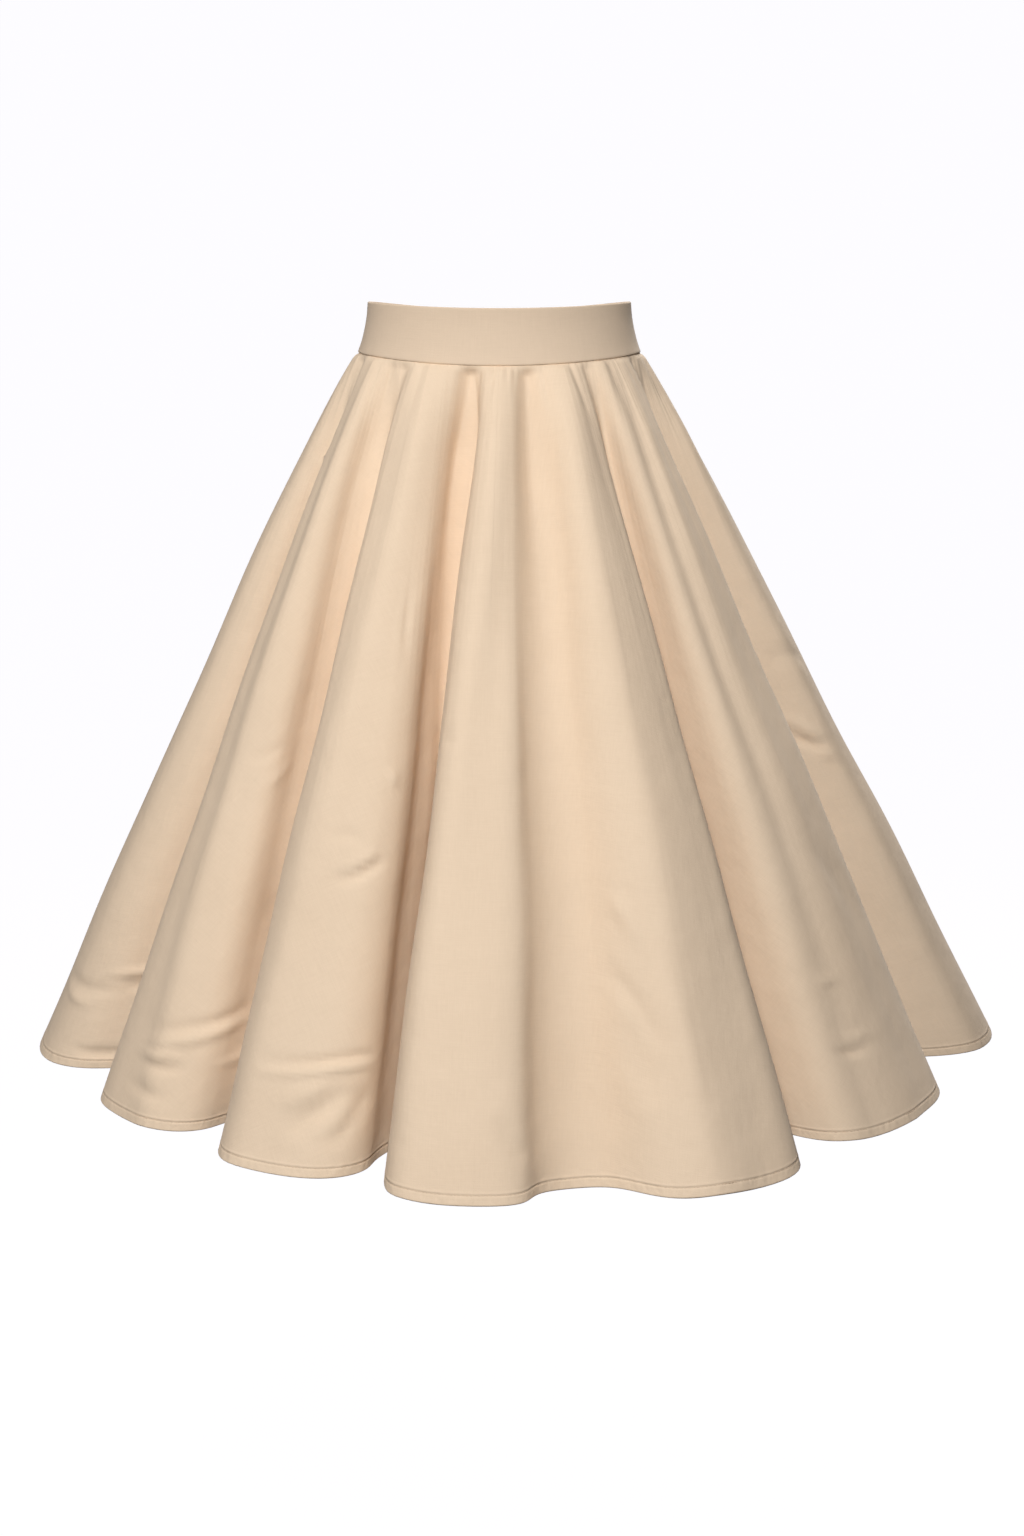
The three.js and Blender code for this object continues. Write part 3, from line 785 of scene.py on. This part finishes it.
def tube_faces(first, rings, sides):
    """Faces of a closed tube whose rings' points follow one another from a first number."""
    grid = first + np.arange(rings * sides).reshape(rings, sides)
    after = np.roll(grid, -1, axis=1)
    walls = np.stack([grid[:-1], after[:-1], after[1:], grid[1:]], axis=-1).reshape(-1, 4).tolist()
    return walls + [grid[0, ::-1].tolist(), grid[-1].tolist()]


def zip_teeth(name, material):
    vertices, faces = [], []
    for side in (1, -1):
        rings = coil_of_teeth(side)
        faces += tube_faces(sum(map(len, vertices)), len(rings), 6)
        vertices.append(rings.reshape(-1, 3))
    return new_piece(name, np.concatenate(vertices), faces, material)


def quadratic(start, pull, end, count=7):
    share = np.linspace(0, 1, count)[1:, None]
    start, pull, end = np.array([start]), np.array([pull]), np.array([end])
    return (1 - share) ** 2 * start + 2 * share * (1 - share) * pull + share**2 * end


def arc(centre, radius, start, end, count):
    angle = np.linspace(start, end, count)
    return np.stack([centre[0] + radius * np.cos(angle), centre[1] + radius * np.sin(angle)], axis=-1)


def stamped_plate(outline, hole, thickness, bevel):
    """The points and faces of a plate with one hole and rounded edges, lying across its own z."""
    curve = bpy.data.curves.new("stamping", "CURVE")
    curve.dimensions = "2D"
    curve.fill_mode = "BOTH"
    curve.extrude = thickness / 2 - bevel
    curve.bevel_depth = bevel
    curve.bevel_resolution = 2
    curve.offset = -bevel
    for points in (outline, hole):
        spline = curve.splines.new("POLY")
        spline.points.add(len(points) - 1)
        spline.points.foreach_set("co", np.pad(points, ((0, 0), (0, 2))).ravel())
        spline.use_cyclic_u = True
    holder = bpy.data.objects.new("stamping", curve)
    bpy.context.scene.collection.objects.link(holder)
    mesh = bpy.data.meshes.new_from_object(holder.evaluated_get(bpy.context.evaluated_depsgraph_get()))
    points = np.array([vertex.co for vertex in mesh.vertices])
    faces = [list(face.vertices) for face in mesh.polygons]
    bpy.data.objects.remove(holder)
    bpy.data.curves.remove(curve)
    bpy.data.meshes.remove(mesh)
    return points, faces


def rounded_block(width, depth, height, bevel):
    """The points and faces of a cast block with round edges, upright and centred."""
    places = []
    levels = [(0, bevel), (0.3 * bevel, 0.3 * bevel), (bevel, 0)]
    levels += [(height - bevel, 0), (height - 0.3 * bevel, 0.3 * bevel), (height, bevel)]
    for level, inset in levels:
        ring = []
        for quarter, (side_x, side_y) in enumerate([(1, 1), (-1, 1), (-1, -1), (1, -1)]):
            middle = (side_x * (width / 2 - bevel), side_y * (depth / 2 - bevel))
            radius = max(bevel - inset, 0.05)
            start = quarter * math.pi / 2
            ring.append(arc(middle, radius, start, start + math.pi / 2, 5))
        ring = np.concatenate(ring)
        places.append(np.column_stack([ring, np.full(len(ring), level - height / 2)]))
    faces = tube_faces(0, len(places), len(places[0]))
    return np.concatenate(places), faces


def lean_below_pin(length):
    """How far the waistband leans out at the centre back from the pin down, in radians."""
    high = band_place(np.array([0.0]), np.array([PIN_LENGTH]))[0]
    low = band_place(np.array([0.0]), np.array([PIN_LENGTH + length]))[0]
    return math.atan2(low[1] - high[1], high[2] - low[2])


def at_pin(points, lean):
    turned = Matrix.Rotation(lean, 3, "X")
    return points @ np.array(turned).T + np.array(PIN)


def zip_slider(name, material):
    """The slider's cast block inside the cloth, with grooved flanges, and its neck with an eye."""
    front = -(PIN_STAND_OFF + 4.0)
    block, block_faces = rounded_block(6.0, 3.0, 8.0, 0.7)
    waist = 0.45 * bell(block[:, 2] - 0.6, 2.2)
    block[:, 0] *= 1 - waist / 3
    block[:, 1] += front - 1.5
    rim = 1.7
    meets = math.asin(1.6 / rim)
    ring = arc((0, 0), rim, -math.pi + meets, math.pi - meets, 33)
    outline = np.concatenate([[(front - 1, -1.6)], ring, [(front - 1, 1.6)]])
    eye = arc((0, 0), 0.9, 2 * math.pi, 2 * math.pi / 24, 24)
    plate, plate_faces = stamped_plate(outline, eye, 0.8, 0.12)
    plate = plate[:, [2, 0, 1]]
    vertices = np.concatenate([block, plate])
    faces = block_faces + [[corner + len(block) for corner in face] for face in plate_faces]
    return new_piece(name, at_pin(vertices, lean_below_pin(4.0)), faces, material)


def zip_pull(name, material):
    """The drop-shaped pull tab, hung by its top bar from the slider's eye."""
    top, half = 0.45, 2.3
    foot = top - 19
    right = [
        np.array([(0.0, top), (half * 0.8, top)]),
        quadratic((half * 0.8, top), (half, top), (half, top - 1)),
        np.array([(half * 0.7, foot * 0.45)]),
        quadratic((half * 0.7, foot * 0.45), (half * 1.15, foot * 0.8), (half * 0.8, foot + 1.2)),
        quadratic((half * 0.8, foot + 1.2), (0, foot - 1.2), (-half * 0.8, foot + 1.2), 13)[:6],
    ]
    right = np.concatenate(right)
    left = right[1:-1][::-1] * np.array([-1, 1])
    outline = np.concatenate([right, left])[::-1]
    corners = [(1.0, -0.75, 0.5 * math.pi), (-1.0, -0.75, math.pi), (-1.0, -3.75, 1.5 * math.pi)]
    corners.append((1.0, -3.75, 2 * math.pi))
    window = [arc((x, y), 0.3, start - math.pi / 2, start, 5) for x, y, start in corners]
    tab, faces = stamped_plate(outline, np.concatenate(window), 0.9, 0.16)
    tab = tab[:, [0, 2, 1]] * np.array([1, -1, 1])
    return new_piece(name, at_pin(tab, lean_below_pin(19.0)), faces, material)


# Finishes


class Value:
    """A value in a finish, so that shader maths reads as plain expressions."""

    def __init__(self, finish, socket):
        self.finish = finish
        self.socket = socket

    def maths(self, operation, *others):
        return self.finish.maths(operation, self, *others)

    def __add__(self, other):
        return self.maths("ADD", other)

    __radd__ = __add__

    def __sub__(self, other):
        return self.maths("SUBTRACT", other)

    def __rsub__(self, other):
        return self.finish.maths("SUBTRACT", other, self)

    def __mul__(self, other):
        return self.maths("MULTIPLY", other)

    __rmul__ = __mul__

    def __truediv__(self, other):
        return self.maths("DIVIDE", other)

    def __rtruediv__(self, other):
        return self.finish.maths("DIVIDE", other, self)

    def __pow__(self, other):
        return self.maths("POWER", other)

    def __rpow__(self, other):
        return self.finish.maths("POWER", other, self)

    def sine(self):
        return self.maths("SINE")


class Finish:
    """A material under construction, on one Principled shader."""

    def __init__(self, name, **constants):
        self.material = bpy.data.materials.new(name)
        self.material.use_nodes = True
        self.tree = self.material.node_tree
        self.shader = self.tree.nodes["Principled BSDF"]
        for socket, value in constants.items():
            self.shader.inputs[socket.replace("_", " ")].default_value = value

    def node(self, kind, settings, values, output=0):
        """Adds one node: its settings first, then the values or links of its sockets."""
        made = self.tree.nodes.new(kind)
        for setting, value in settings.items():
            if setting == "stops":
                self.set_stops(made.color_ramp, value)
            else:
                setattr(made, setting, value)
        for socket, value in values.items():
            self.feed(made.inputs[socket], value)
        return Value(self, made.outputs[output])

    def set_stops(self, ramp, stops):
        while len(ramp.elements) < len(stops):
            ramp.elements.new(0.5)
        for element, (place, colour) in zip(ramp.elements, stops):
            element.position = place
            element.color = colour

    def feed(self, socket, value):
        if isinstance(value, Value):
            self.tree.links.new(value.socket, socket)
        else:
            socket.default_value = value

    def maths(self, operation, *values):
        return self.node("ShaderNodeMath", {"operation": operation}, dict(enumerate(values)))

    def mix(self, share, first, second):
        """A colour between two colours."""
        return self.node("ShaderNodeMix", {"data_type": "RGBA"}, {0: share, 6: first, 7: second}, 2)

    def noise(self, where, scale, detail=2.0, roughness=0.5):
        values = {"Vector": where, "Scale": scale, "Detail": detail, "Roughness": roughness}
        return self.node("ShaderNodeTexNoise", {}, values)

    def vector(self, x, y, z=0.0):
        return self.node("ShaderNodeCombineXYZ", {}, {0: x, 1: y, 2: z})

    def pattern_place(self):
        """Across and down on the flat cut, in metres."""
        place = self.node("ShaderNodeUVMap", {"uv_map": "cut"}, {})
        across = self.node("ShaderNodeSeparateXYZ", {}, {0: place}, 0)
        down = Value(self, across.socket.node.outputs[1])
        return across, down

    def colour(self, value):
        self.feed(self.shader.inputs["Base Color"], value)

    def roughness(self, value):
        self.feed(self.shader.inputs["Roughness"], value)

    def bump(self, height, distance, strength=1.0):
        """Relief from a height of 0 to 1 that stands for a distance in metres."""
        values = {"Height": height, "Distance": distance, "Strength": strength}
        self.feed(self.shader.inputs["Normal"], self.node("ShaderNodeBump", {}, values))


def near(value, middle, width):
    """1 where a value is at a middle, falling softly to 0 a few widths away."""
    return math.e ** (0 - ((value - middle) / width) ** 2)


def woven_cotton(name, light, dark, hem=False):
    """Plain-woven cotton: over-and-under threads, thick and thin yarn, a faint cloud of tone, and
    the soft crumple that pressing leaves. Heights are in millimetres."""
    finish = Finish(name, Sheen_Weight=0.08, Sheen_Roughness=0.5, Specular_IOR_Level=0.22)
    across, down = finish.pattern_place()
    thread = 2 * math.pi / 0.0009
    weave = (across * thread).sine() * (down * thread).sine()
    warp = finish.noise(finish.vector(across * 1100, down * 45), 1.0)
    weft = finish.noise(finish.vector(across * 45, down * 1100, 7.0), 1.0)
    yarn = warp + weft - 1.0
    cloud = finish.noise(finish.vector(across * 9, down * 9), 1.0, detail=3.0) - 0.5
    nap = finish.noise(finish.vector(across * 260, down * 260, 3.0), 1.0, detail=2.0) - 0.5
    crumple = finish.noise(finish.vector(across * 26, down * 26, 5.0), 1.0, detail=3.0) - 0.5
    tone = 0.5 + 0.8 * yarn + 0.8 * cloud + 0.35 * nap + 0.05 * weave
    finish.colour(finish.mix(tone, dark, light))
    finish.roughness(0.84 + 0.06 * yarn + 0.05 * cloud)
    height = 0.025 * weave + 0.08 * yarn + 0.05 * nap
    if hem:
        radius = (across**2 + down**2) ** 0.5
        angle = finish.maths("ARCTAN2", across, down)
        streaks = finish.noise(finish.vector(angle * 26, radius * 2.2, 2.0), 1.0, detail=2.0) - 0.5
        height = height + 1.5 * crumple + 1.0 * streaks + hem_height(finish, radius, angle)
    else:
        height = height + 0.35 * crumple
    finish.bump(height, 0.001, 1.0)
    return finish.material


def hem_height(finish, radius, angle):
    """The sewn line above the hem, the ridge of the turned edge and the puckers between them."""
    hem = (WAIST_CUT_RADIUS + SLANT) * MM
    line = near(radius, hem - 0.0082, 0.0010)
    ridge = near(radius, hem - 0.0098, 0.0013)
    between_them = near(radius, hem - 0.0060, 0.0040)
    pucker = finish.noise(finish.vector(angle * 120, radius * 40), 1.0, detail=1.0) - 0.5
    return 0.22 * ridge - 0.35 * line + 1.4 * between_them * pucker


def sewing_thread(name):
    """Matching thread with a fine twist."""
    finish = Finish(name, Sheen_Weight=0.2, Sheen_Roughness=0.4, Specular_IOR_Level=0.3)
    place = finish.node("ShaderNodeTexCoord", {}, {}, 3)
    twist = finish.noise(place, 2600.0, detail=1.0)
    finish.colour(finish.mix(twist, (0.60, 0.44, 0.30, 1), (0.74, 0.56, 0.40, 1)))
    finish.roughness(0.6 + 0.15 * twist)
    finish.bump(twist, 0.0001, 0.5)
    return finish.material


def ribbed_tape(name):
    """Knitted zip tape: fine upright ribs and small slanting floats."""
    finish = Finish(name, Specular_IOR_Level=0.3)
    across, down = finish.pattern_place()
    rib = (across * (2 * math.pi / 0.0008)).sine()
    float_thread = (down * (2 * math.pi / 0.0007) + 2.0 * rib).sine()
    worn = finish.noise(finish.vector(across * 300, down * 60), 1.0) - 0.5
    tone = 0.5 + 0.18 * rib + 0.14 * float_thread + 0.5 * worn
    finish.colour(finish.mix(tone, (0.60, 0.43, 0.28, 1), (0.74, 0.56, 0.39, 1)))
    finish.roughness(0.78 + 0.1 * worn)
    finish.bump(0.5 + 0.22 * rib + 0.18 * float_thread, 0.0002, 0.7)
    return finish.material


def coil_nylon(name):
    """Moulded nylon with a soft gloss that the slider has dulled in places."""
    finish = Finish(name, Specular_IOR_Level=0.45, IOR=1.53)
    place = finish.node("ShaderNodeTexCoord", {}, {}, 3)
    rub = finish.noise(place, 260.0, detail=3.0)
    finish.colour(finish.mix(rub, (0.58, 0.41, 0.27, 1), (0.70, 0.52, 0.36, 1)))
    finish.roughness(0.32 + 0.25 * rub)
    finish.bump(rub, 0.00005, 0.4)
    return finish.material


def lacquered_metal(name):
    """Die-cast zinc under beige lacquer, with a faint orange peel and rubbed spots."""
    finish = Finish(name, Coat_Roughness=0.15, Specular_IOR_Level=0.5)
    place = finish.node("ShaderNodeTexCoord", {}, {}, 3)
    peel = finish.noise(place, 900.0, detail=2.0)
    rub = finish.noise(place, 160.0, detail=4.0, roughness=0.65)
    spots = finish.node(
        "ShaderNodeValToRGB", {"stops": [(0.60, (0, 0, 0, 1)), (0.72, (1, 1, 1, 1))]}, {0: rub}
    )
    bare = finish.node("ShaderNodeSeparateColor", {}, {0: spots}, 0)
    finish.colour(finish.mix(bare * 0.5, (0.62, 0.46, 0.31, 1), (0.72, 0.66, 0.58, 1)))
    finish.feed(finish.shader.inputs["Metallic"], 0.25 + 0.5 * bare)
    finish.feed(finish.shader.inputs["Coat Weight"], 0.5 - 0.4 * bare)
    finish.roughness(0.30 + 0.12 * rub)
    finish.bump(peel, 0.00004, 0.4)
    return finish.material


def studio_white(name):
    """The floor and backdrop: an even near-white that glows like lit paper."""
    finish = Finish(name, Roughness=0.9, Emission_Strength=1.0, Emission_Color=(0.975, 0.966, 0.995, 1))
    place = finish.node("ShaderNodeTexCoord", {}, {}, 3)
    fine = finish.noise(place, 30.0)
    finish.colour(finish.mix(fine, (0.020, 0.020, 0.021, 1), (0.026, 0.026, 0.027, 1)))
    return finish.material


# Studio


def photo_camera():
    camera = bpy.data.cameras.new("camera")
    camera.sensor_width = 36
    camera.lens = 60.23
    camera.clip_end = 60
    holder = bpy.data.objects.new("camera", camera)
    bpy.context.scene.collection.objects.link(holder)
    holder.location = (0.0114, -2.35, 0.05)
    holder.rotation_euler = (math.radians(90 - 11.51), 0, 0)
    bpy.context.scene.camera = holder


def soft_light(name, place, aim, size, power):
    lamp = bpy.data.lights.new(name, "AREA")
    lamp.shape = "DISK"
    lamp.size = size
    lamp.energy = power
    holder = bpy.data.objects.new(name, lamp)
    bpy.context.scene.collection.objects.link(holder)
    holder.location = place
    toward = Vector(aim) - Vector(place)
    holder.rotation_euler = toward.to_track_quat("-Z", "Y").to_euler()


def studio():
    """Round backdrop, soft key in front and above, weak fill at the left, a lamp behind and an even
    sky."""
    world = bpy.data.worlds.new("studio_air")
    world.use_nodes = True
    background = world.node_tree.nodes["Background"]
    background.inputs["Color"].default_value = (1, 1, 1, 1)
    background.inputs["Strength"].default_value = 0.07
    bpy.context.scene.world = world
    soft_light("key", (-0.25, -2.90, 2.15), (0, 0, -0.40), 1.2, 126)
    soft_light("fill", (-2.50, -1.60, 0.50), (0, 0, -0.35), 1.4, 14)
    soft_light("back", (0.9, 2.7, 1.9), (0, 0, -0.40), 1.2, 105)
    backdrop()
    bpy.context.scene.view_settings.view_transform = "Standard"


def backdrop():
    """A round floor below the skirt that curves up into a wall all the way round. It is there to be
    looked at only, and throws no light or shade on the skirt."""
    bend = np.radians(np.linspace(0, 90, 13))
    floor_line = [(radius, -1.5) for radius in (0.0004, 1.0, 2.5)]
    curve = [(4.2 + 1.6 * math.sin(a), 0.1 - 1.6 * math.cos(a)) for a in bend]
    radius, height = np.array([*floor_line, *curve, (5.8, 2.5), (5.8, 6.0)]).T
    angle = np.radians(np.arange(0, 361, 5))
    rings = [np.outer(radius, np.sin(angle)), np.outer(radius, np.cos(angle))]
    rings.append(np.outer(height, np.ones_like(angle)))
    points = np.stack(rings, axis=-1) / MM
    faces = grid_faces(np.arange(points.shape[0] * points.shape[1]).reshape(points.shape[:2]))
    sweep = new_piece("backdrop", points.reshape(-1, 3), faces, studio_white("studio_white"))
    sweep.visible_diffuse = False
    sweep.visible_glossy = False
    sweep.visible_shadow = False


# The skirt


def in_place(piece, slot, *nodes, body="skirt"):
    """Makes a piece ride on its body, in place of its solids. The slot is not used."""
    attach(piece, body)
    if nodes:
        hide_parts(*nodes)
    return piece


def skirt_cloth(cotton):
    """The three panels with their seam allowances and the hem's thread."""
    front = skirt_panel("front_panel", -RIGHT_SIDE_FOLD, RIGHT_SIDE_FOLD, 0, cotton)
    right = skirt_panel("back_right_panel", RIGHT_SIDE_FOLD, CENTRE_BACK_FOLD, CENTRE_BACK_FOLD, cotton)
    left = skirt_panel("back_left_panel", CENTRE_BACK_FOLD, LEFT_SIDE_FOLD, CENTRE_BACK_FOLD, cotton)
    in_place(front, "cotton", "skirt_front")
    in_place(right, "cotton", "skirt_back_right")
    in_place(left, "cotton", "skirt_back_left")
    edges = {
        "front_right_allowance": (6, -1, 0.02),
        "back_right_allowance": (6, 1, 0.02),
        "front_left_allowance": (-6, 1, 0.02),
        "back_left_allowance": (18, -1, 0.02),
        "centre_right_allowance": (12, -1, 0.235),
        "centre_left_allowance": (12, 1, 0.235),
    }
    strips = {}
    for name, (fold, side, top) in edges.items():
        strips[name] = in_place(seam_allowance(name, fold, side, top, cotton), "cotton")
    thread = in_place(hem_thread("hem_thread", sewing_thread("sewing_thread")), "cotton")
    return (
        (front, "waistband_front", (1.672, 0.836), 1.078,
         [strips["front_right_allowance"], strips["front_left_allowance"], thread]),
        (right, "waistband_back_right", (0.836, 0.836), 0.539,
         [strips["back_right_allowance"], strips["centre_right_allowance"]]),
        (left, "waistband_back_left", (0.836, 0.836), 0.539,
         [strips["back_left_allowance"], strips["centre_left_allowance"]]),
    )


def waistband(cotton, panels):
    """The folded band in three lengths, seamed at the sides and open at the centre back."""
    lengths = [
        ("front_band", -90, 90, 121, "waistband_front", 0.349),
        ("back_right_band", 90, 180, 61, "waistband_back_right", 0.1745),
        ("back_left_band", 180, 270, 61, "waistband_back_left", 0.1745),
    ]
    bands = []
    for (name, first, last, columns, node, width), panel in zip(lengths, panels):
        band = band_piece(name, first, last, columns, cotton)
        in_place(band, "waistband_cotton", node)
        bands.append(band)
    return bands


def zip_fastener(bands):
    """Two tapes, their coil, the slider and its pull."""
    weave = ribbed_tape("zip_tape")
    metal = lacquered_metal("zip_metal")
    for name, side, node, band in (
        ("right_tape", -1, "zip_tape_right", bands[1]),
        ("left_tape", 1, "zip_tape_left", bands[2]),
    ):
        tape = in_place(zip_tape(name, side, weave), "zip_tape", node)
    in_place(zip_teeth("coil_teeth", coil_nylon("zip_coil")), "zip_coil", "zip_coil")
    in_place(zip_slider("slider_body", metal), "zip_metal", "zip_slider")
    in_place(zip_pull("pull_tab", metal), "zip_metal", "zip_pull", body="pull")


def whole_skirt():
    light, dark = (0.825, 0.650, 0.480, 1), (0.765, 0.592, 0.427, 1)
    cloth = skirt_cloth(woven_cotton("cotton", light, dark, hem=True))
    # The band is the same cotton as the skirt; its colours are made about a tenth darker as painted shade.
    band_light_shaded, band_dark_shaded = (0.745, 0.585, 0.435, 1), (0.69, 0.535, 0.39, 1)
    bands = waistband(woven_cotton("band_cotton_shaded", band_light_shaded, band_dark_shaded), [row[0] for row in cloth])
    zip_fastener(bands)


photo_camera()
studio()
whole_skirt()
